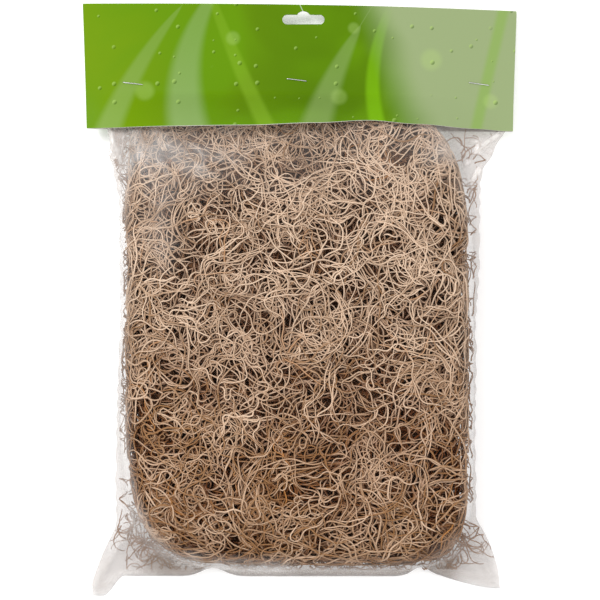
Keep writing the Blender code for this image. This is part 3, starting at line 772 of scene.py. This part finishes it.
def filmLook(x, y):     # how much painted shade, painted crease glint and milky painted sheen the film takes, for its material to read
    shades, haze = film["shades"], film["haze"]
    outside = filmOutside(x, y)
    inside = spread(x, y, film["room"])
    ears = fadeIn(-y, 0.150, 0.02)
    stripShadow = fadeIn(-y, 0.164, 0.010) * fadeIn(-np.abs(x), -0.120, 0.03)     # low, between the ears, where the film is painted darker as the moss's shadow
    beside = ease((inside - 0.983 + 0.011 * stripShadow) / 0.024)
    shade = beside * (shades["beside"] + shades["ears"] * ears + shades["stripShadow"] * stripShadow)
    # painted highlights: creases and wrinkle crests get pale glints
    creaseGlint = np.clip(filmCreases(x, y) / 0.0009 + np.maximum(filmWrinkle(x, y), 0) / 0.0045, 0, 1)
    creaseGlint = creaseGlint * outside * (1 - 0.6 * ears)
    topLeft = fadeIn(y, 0.060, 0.040) * fadeIn(-x, 0.010, 0.08)
    # rim: a band of painted sheen along the moss's edges, under the film
    rim = fadeIn(inside, 0.91, 0.08) * (1 - outside) * np.where(x < 0, haze["leftRim"], haze["rightRim"])
    milkySheen = haze["topLeft"] * topLeft + rim + haze["top"] * fadeIn(y, 0.040, 0.08)
    for (middleX, middleY), (wide, long), strength in film["veils"]:
        milkySheen += strength * np.exp(-((x - middleX) / wide) ** 2 - ((y - middleY) / long) ** 2)
    return np.stack([shade, creaseGlint, np.clip(milkySheen, 0, 1)], axis=1)


def filmSheet(side):     # the top sheet (side 1) or the bottom sheet (side -1)
    bpy.ops.mesh.primitive_grid_add(x_subdivisions=film["columns"], y_subdivisions=film["rows"], size=2)
    sheet = bpy.context.object
    grid = readPoints(sheet)
    x, y = filmPlan(grid[:, 0], grid[:, 1])
    edge = (np.abs(grid[:, :2]).max(axis=1) > 0.9999) & (grid[:, 1] < 0.9999)     # where the two are welded
    z = np.where(edge, webHeight(x, y) + filmWrinkle(x, y), filmHeight(x, y, side))
    movePoints(sheet, np.stack([x, y, z], axis=1))
    paintPoints(sheet, "film", filmLook(x, y))
    if side < 0:
        sheet.data.flip_normals()
    return sheet


def filmPaint():
    paint = Paint("clearFilm", 0.14, IOR=1.5)
    shade, creaseGlint, milkySheen = paint.attribute("film")
    place = paint.place()
    cloud = paint.noise(place, 34, 3, 1.5)
    # glint: painted highlights, thin pale lines over the creases and the milky patches
    glint = (paint.noise(paint.stretch(place, (1, 0.6, 1)), 46, 2, 2.5) - 0.5).size().ramp(0.0, 0.016, 1, 0)
    glint = glint * cloud.ramp(0.42, 0.58) * (milkySheen * 0.5 + creaseGlint * 0.5)
    glint = glint.above(creaseGlint * cloud.ramp(0.30, 0.55) * 0.9)
    # haze: a milky veil, partly the film's own milkiness and partly painted sheen
    haze = cloud.ramp(0.25, 0.65, 0.35, 1) * milkySheen * 0.20
    alpha = shade * 0.22 + shade.ramp(0.75, 1.0) * 0.05 + haze + glint * 0.26 + 0.004
    # painted shade: the film goes from the first colour to the darker second as its shade rises, darkest on
    # the bottom strip
    clear = paint.blend(shade.ramp(0.70, 1.0), film["colours"]["thinShade"], film["colours"]["thick"])
    paint.use("Alpha", alpha.below(0.6))
    # painted highlight and sheen: glints and haze turn the film's colour pale
    paint.use("Base Color", paint.blend(glint.above((haze * 5).below(0.8)), clear, film["colours"]["milkySheen"]))
    paint.use("Roughness", cloud.ramp(0.3, 0.7, 0.10, 0.22))
    paint.bump(paint.noise(place, 70, 2, 1.0), 0.25, 0.0006)
    return paint.material


def makeFilm():
    top, base = filmSheet(1), filmSheet(-1)
    pickOnly(top)
    base.select_set(True)
    bpy.ops.object.join()
    bag = bpy.context.object
    bag.name = bag.data.name = "clearFilm"
    weld(bag, 1e-6)
    wall = bag.modifiers.new("film", "SOLIDIFY")
    wall.thickness = film["thick"]
    wall.offset = 1
    applyModifier(bag, "film")
    bpy.ops.object.shade_smooth()
    bag.data.materials.append(filmPaint())
    settle(bag, "film", "clear_bag")


# Header card: one printed sheet, folded over the bag's mouth, with a hang slot

card = {
    "thick": 0.0004, "plyRise": 0.00135, "hinge": 0.1407, "columns": 80, "panelRows": 34, "foldRows": 8,
    "taper": 0.022, "dip": 0.0047, "lowDip": 0.4, "clear": 0.0009, "softness": 0.004, "smoothing": 9,
    "lowEdge": (     # place across the card and how far down its front comes there
        (-0.1430, 0.1149), (-0.0900, 0.1155), (-0.0350, 0.1160), (0.0100, 0.1176),
        (0.0470, 0.1196), (0.0800, 0.1174), (0.1200, 0.1146), (0.1420, 0.1132),
    ),
    "slotPlace": (0.0023, 0.1881, 0.012), "slotWidth": 0.0283, "slotHeight": 0.0065, "slotTop": 0.0048,
    "slotTopLift": 0.0009, "cutterHeight": 0.04,
    "greens": {
        "left": (0.128, 0.240, 0.0004), "right": (0.072, 0.158, 0.0006), "soft": (0.100, 0.225, 0.0010),
    },
    "blades": (     # foot, lean, bow, half width, height of its tip, colour and strength
        (-0.128, 0.030, 0.020, 0.010, 0.95, (0.20, 0.31, 0.075), 0.75),
        (-0.074, -0.022, 0.034, 0.015, 1.15, (0.22, 0.33, 0.115), 0.85),
        (-0.022, -0.040, 0.004, 0.007, 1.30, (0.20, 0.36, 0.020), 0.55),
        (0.010, 0.024, 0.016, 0.012, 0.80, (0.21, 0.31, 0.095), 0.70),
        (0.052, -0.020, 0.030, 0.006, 1.40, (0.17, 0.40, 0.004), 0.80),
    ),
    "discs": (     # place across, place up the panel from 0 to 1, and radius
        (-0.104, 0.30, 0.0075), (-0.045, 0.72, 0.0055), (0.026, 0.25, 0.0065),
        (0.036, 0.80, 0.0045), (0.088, 0.55, 0.0085), (0.128, 0.22, 0.006),
    ),
    "dewScale": 75, "dewSize": (0.05, 0.135), "dewShare": 0.38,
}


def cardSwing(below):     # the panel starts to swing out softly, so its front shows no fold
    soft = card["softness"]
    return np.sqrt(np.maximum(below, 0) ** 2 + soft ** 2) - soft


def cardLift(x, side):     # how steeply a panel leaves the web below the staples, so that it clears the bag
    low = packShape["cardTop"] - packShape["cardPanel"]
    stations = np.linspace(-0.160, 0.160, 161)
    lift = np.zeros_like(stations)
    for share in np.linspace(0.06, 1.25, 28):
        y = card["hinge"] + (low - card["hinge"]) * share + 0 * stations
        sheet = filmHeight(stations, y, side) + side * card["clear"]
        ply = webHeight(stations, y) + side * card["plyRise"]
        lift = np.maximum(lift, side * (sheet - ply) / cardSwing(card["hinge"] - y))
    reach = card["smoothing"]
    padded = np.pad(lift, reach, "edge")
    highest = np.max([padded[i:i + len(lift)] for i in range(2 * reach + 1)], axis=0)
    lift = np.convolve(np.pad(highest, reach, "edge"), np.ones(2 * reach + 1) / (2 * reach + 1), "valid")
    return np.interp(x, stations, lift)


def cardPoints(x, row):     # row runs from the front's lower edge, over the fold, to the back's lower edge
    turnY = packShape["cardTop"] - card["plyRise"] - card["thick"] / 2
    low = packShape["cardTop"] - packShape["cardPanel"]
    folding = np.clip((row - card["panelRows"]) / card["foldRows"], 0, 1)
    back = row > card["panelRows"] + card["foldRows"] / 2
    ahead = np.where(back, 2 * card["panelRows"] + card["foldRows"] - row, row) / card["panelRows"]
    y = low + (turnY - low) * np.clip(ahead, 0, 1)
    lift = np.where(back, cardLift(x, -1), cardLift(x, 1))
    far = (x / packShape["cardWidth"] + 0.5) ** 2.2
    reach = card["hinge"] - along(card["lowEdge"], x) - card["lowDip"] * card["dip"] * far
    front = reach / (card["hinge"] - low)
    below = np.maximum(card["hinge"] - y, 0) * np.where(back, 1, front)
    y = np.where(y < card["hinge"], card["hinge"] - below, y)
    angle = math.pi * (0.5 - folding)
    tall = (y - low) / packShape["cardPanel"]
    inFold = (folding > 0) & (folding < 1)
    dip = card["dip"] * far * (card["lowDip"] + (1 - card["lowDip"]) * tall)
    placeY = y + card["plyRise"] * np.cos(angle) * inFold - dip
    placeX = x * (1 - card["taper"] * (1 - tall))
    side = np.where(back, -1.0, 1.0)
    ply = np.where(inFold, np.sin(angle), side) * card["plyRise"]
    z = webHeight(placeX, placeY) + ply + side * lift * cardSwing(below)
    return np.stack([placeX, placeY, np.maximum(z, packShape["clearOfFloor"])], axis=1)


def slotCutter():     # a rounded bar with a half-round top in its middle
    end, height = card["slotHeight"] / 2, card["cutterHeight"]
    place = (end - card["slotWidth"] / 2, 0, 0)
    bpy.ops.mesh.primitive_cylinder_add(vertices=24, radius=end, depth=height, location=place)
    bar = bpy.context.object
    points = readPoints(bar)
    points[:, 0] += np.where(points[:, 0] > 1e-6, card["slotWidth"] - 2 * end, 0)
    movePoints(bar, points)
    bpy.ops.object.transform_apply(location=True)
    place = (0, card["slotTopLift"], 0)
    height += 0.0001     # so that no end faces meet
    bpy.ops.mesh.primitive_cylinder_add(vertices=32, radius=card["slotTop"], depth=height, location=place)
    hump = bpy.context.object
    bpy.ops.object.transform_apply(location=True)
    points = readPoints(hump)
    points[:, 1] = np.maximum(points[:, 1], 0)
    movePoints(hump, points)
    union = bar.modifiers.new("hump", "BOOLEAN")
    union.operation = "UNION"
    union.object = hump
    union.solver = "EXACT"
    applyModifier(bar, "hump")
    bpy.data.objects.remove(hump)
    movePoints(bar, readPoints(bar) + card["slotPlace"])
    return bar


def printBlades(paint, base, x, tall):     # soft leaves out of focus, that lean and bow as they rise
    for foot, lean, bow, half, tip, colour, strength in card["blades"]:
        middle = tall * lean + tall * tall * bow + foot
        room = (1.02 - tall / tip).above(0.0) ** 0.6 * half + 0.0004
        faded = tall.ramp(-0.4, 1.1, 1, 0.45)
        base = paint.blend(((x - middle).size() / room).ramp(0.45, 1.15, strength, 0) * faded, base, colour)
    return base


def printDew(paint, base, place):     # drops of one cell each, dark above and pale below, where luck has them
    sockets = {"Vector": place, "Scale": card["dewScale"], "Randomness": 1}
    cells = paint.node("ShaderNodeTexVoronoi", {"voronoi_dimensions": "2D"}, sockets).socket.node.outputs
    nearest, chance, middle = [Sum(paint, cells[name]) for name in ("Distance", "Color", "Position")]
    apart = paint.node("ShaderNodeVectorMath", {"operation": "SUBTRACT"}, {0: place, 1: middle})
    offX, offY, _ = paint.split(apart)
    luck, growth, _ = paint.split(chance)
    smallest, largest = card["dewSize"]
    size = growth * (largest - smallest) + smallest
    least = 1 - card["dewShare"]
    drop = (nearest / size).ramp(0.85, 1.0, 1, 0) * luck.ramp(least - 0.02, least + 0.02)
    shine = ((offY - offX) * card["dewScale"] / size).ramp(-0.9, 0.9)
    base = paint.blend(drop * (1 - shine) * 0.55, base, (0.03, 0.075, 0.0))
    return paint.blend(drop * shine * 0.5, base, (0.34, 0.50, 0.12))


def cardPaint():     # a soft green print of leaves out of focus, with drops of dew
    paint = Paint("printedCard", 0.42, **{"Specular IOR Level": 0.05})
    greens = card["greens"]
    place = paint.place()
    x, y, _ = paint.split(place)
    tall = (y - (packShape["cardTop"] - packShape["cardPanel"])) / packShape["cardPanel"]
    soft = paint.noise(place, 16, 2, 0.4)
    base = paint.blend(x.ramp(-0.14, 0.02, 1, 0), greens["right"], greens["left"])
    base = paint.blend(soft.ramp(0.35, 0.7), base, greens["soft"])
    base = printBlades(paint, base, x, tall)
    pale = (x + tall * 0.030 + soft * 0.02).ramp(0.070, 0.108)     # the washed-out right end
    base = paint.blend(pale, base, (0.255, 0.320, 0.155))
    vein = (x - tall * 0.020 - 0.118).size().ramp(0.0015, 0.006, 0.55, 0)
    base = paint.blend(vein, base, (0.19, 0.33, 0.045))
    panelSquare = 0.00716     # the panel's height, squared
    for discX, discTall, size in card["discs"]:
        reach = ((x - discX) * (x - discX) + (tall - discTall) * (tall - discTall) * panelSquare) ** 0.5
        base = paint.blend((reach / size).ramp(0.5, 1.1, 0.20, 0), base, (0.40, 0.56, 0.16))
    base = printDew(paint, base, place)
    slit = (x - (packShape["cardTop"] - y) * 0.45 + 0.0006).size().ramp(0.0001, 0.0005, 0.6, 0)
    base = paint.blend(slit * y.ramp(0.1926, 0.1930), base, (0.55, 0.62, 0.50))     # above the slot
    grain = paint.noise(place, 1400, 2)
    paint.use("Base Color", base)
    paint.use("Roughness", grain.ramp(0.3, 0.7, 0.36, 0.48))
    paint.bump(grain, 0.12, 0.0001)
    return paint.material


def boardPaint(name, colour, roughness):     # bare pulp board, on the card's inside and cut edges
    paint = Paint(name, roughness)
    fibre = paint.noise(paint.stretch(paint.place(), (1, 3, 3)), 700, 3)
    paint.use("Base Color", paint.blend(fibre, tuple(part * 0.88 for part in colour), colour))
    paint.bump(fibre, 0.25, 0.0001)
    return paint.material


def makeCard():
    rows = 2 * card["panelRows"] + card["foldRows"]
    bpy.ops.mesh.primitive_grid_add(x_subdivisions=card["columns"], y_subdivisions=rows, size=2)
    sheet = bpy.context.object
    sheet.name = sheet.data.name = "headerCard"
    grid = readPoints(sheet)
    x = grid[:, 0] * packShape["cardWidth"] / 2
    movePoints(sheet, cardPoints(x, np.round((grid[:, 1] + 1) / 2 * rows)))
    sheet.data.materials.append(cardPaint())
    sheet.data.materials.append(boardPaint("cardEdge", (0.62, 0.62, 0.56), 0.8))
    sheet.data.materials.append(boardPaint("cardInside", (0.70, 0.69, 0.64), 0.75))
    wall = sheet.modifiers.new("stock", "SOLIDIFY")
    wall.thickness = card["thick"]
    wall.offset = 0
    wall.material_offset = 2
    wall.material_offset_rim = 1
    applyModifier(sheet, "stock")
    cutter = slotCutter()
    cutter.data.materials.append(sheet.data.materials[1])
    hole = sheet.modifiers.new("slot", "BOOLEAN")
    hole.operation = "DIFFERENCE"
    hole.object = cutter
    hole.solver = "EXACT"
    applyModifier(sheet, "slot")
    bpy.data.objects.remove(cutter)
    pickOnly(sheet)
    bpy.ops.object.shade_smooth_by_angle(angle=math.radians(35))
    settle(sheet, "card", "header_card")


# Staples

staples = {
    "places": {
        "stapleLeft": ("staple_left", -0.112, 0.1449),
        "stapleMiddle": ("staple_middle", -0.0023, 0.1472),
        "stapleRight": ("staple_right", 0.120, 0.1449),
    },
    "width": 0.0133, "wire": 0.00033, "foot": 0.0045, "footBelow": 0.0003, "face": 0.00222, "round": 0.0007,
    "turn": math.radians(-7),
}


def stapleRoute():     # from one clinched foot, up a leg, over the crown and back, in the staple's own plane
    leg, face, bend = staples["width"] / 2, staples["face"], staples["round"]
    firstHalf = [(-leg + staples["foot"], -face - staples["footBelow"])]
    for corner, start in (((-leg + bend, -face + bend), -90), ((-leg + bend, face - bend), 180)):
        for i in range(6):
            angle = math.radians(start - 18 * i)
            firstHalf.append((corner[0] + bend * math.cos(angle), corner[1] + bend * math.sin(angle)))
    return firstHalf + [(-across, up) for across, up in reversed(firstHalf)]


def steelPaint():
    paint = Paint("stapleSteel", 0.25, Metallic=1.0)
    drawn = paint.noise(paint.stretch(paint.place(), (1, 12, 1)), 700, 2)
    paint.use("Base Color", paint.blend(drawn, (0.52, 0.52, 0.53), (0.78, 0.78, 0.79)))
    paint.use("Roughness", drawn.ramp(0.3, 0.7, 0.2, 0.42))
    return paint.material


def makeStaples():
    curve = bpy.data.curves.new("staple", "CURVE")
    curve.dimensions = "3D"
    curve.bevel_depth = staples["wire"]
    curve.bevel_resolution = 2
    curve.use_fill_caps = True
    route = stapleRoute()
    spline = curve.splines.new("POLY")
    spline.points.add(len(route) - 1)
    for point, (across, up) in zip(spline.points, route):
        point.co = (across, 0, up, 1)
    wire = ownObject("stapleWire", curve)
    pickOnly(wire)
    bpy.ops.object.convert(target="MESH")
    wire = bpy.context.object
    weld(wire, 1e-7)
    bpy.ops.object.shade_smooth_by_angle(angle=math.radians(50))
    steel = steelPaint()
    step = 0.002     # over which the card's slope is read
    for name, (node, x, y) in staples["places"].items():
        slopeX = (webHeight(x + step, y) - webHeight(x - step, y)) / (2 * step)
        slopeY = (webHeight(x, y + step) - webHeight(x, y - step)) / (2 * step)
        out = Vector((-slopeX, -slopeY, 1)).normalized()
        side = Vector((math.cos(staples["turn"]), math.sin(staples["turn"]), 0))
        side = (side - out * side.dot(out)).normalized()
        turned = Matrix((side, out.cross(side), out)).transposed().to_4x4()
        turned.translation = Vector((x, y, float(webHeight(x, y))))
        staple = ownObject(name, wire.data.copy())
        staple.data.transform(turned)
        staple.data.materials.append(steel)
        settle(staple, "staple_wire", node)
    bpy.data.objects.remove(wire)


draw = np.random.default_rng(moss["seed"])
setCamera()
setStudio()
section = threadSection()
driedMoss = mossPaint()
makeHeart()
for name, plan in moss["layers"].items():
    layer = makeMossLayer(name, plan, draw, section)
    layer.data.materials.append(driedMoss)
    settle(layer, "moss", "moss_bunch")
loose = makeWisps(draw, section)
loose.data.materials.append(driedMoss)
settle(loose, "moss", "moss_bunch")
bpy.data.objects.remove(section)
makeFilm()
makeCard()
makeStaples()

total = sum(len(piece.data.polygons) for piece in bpy.data.objects if piece.type == "MESH")
print("faces in all", total)
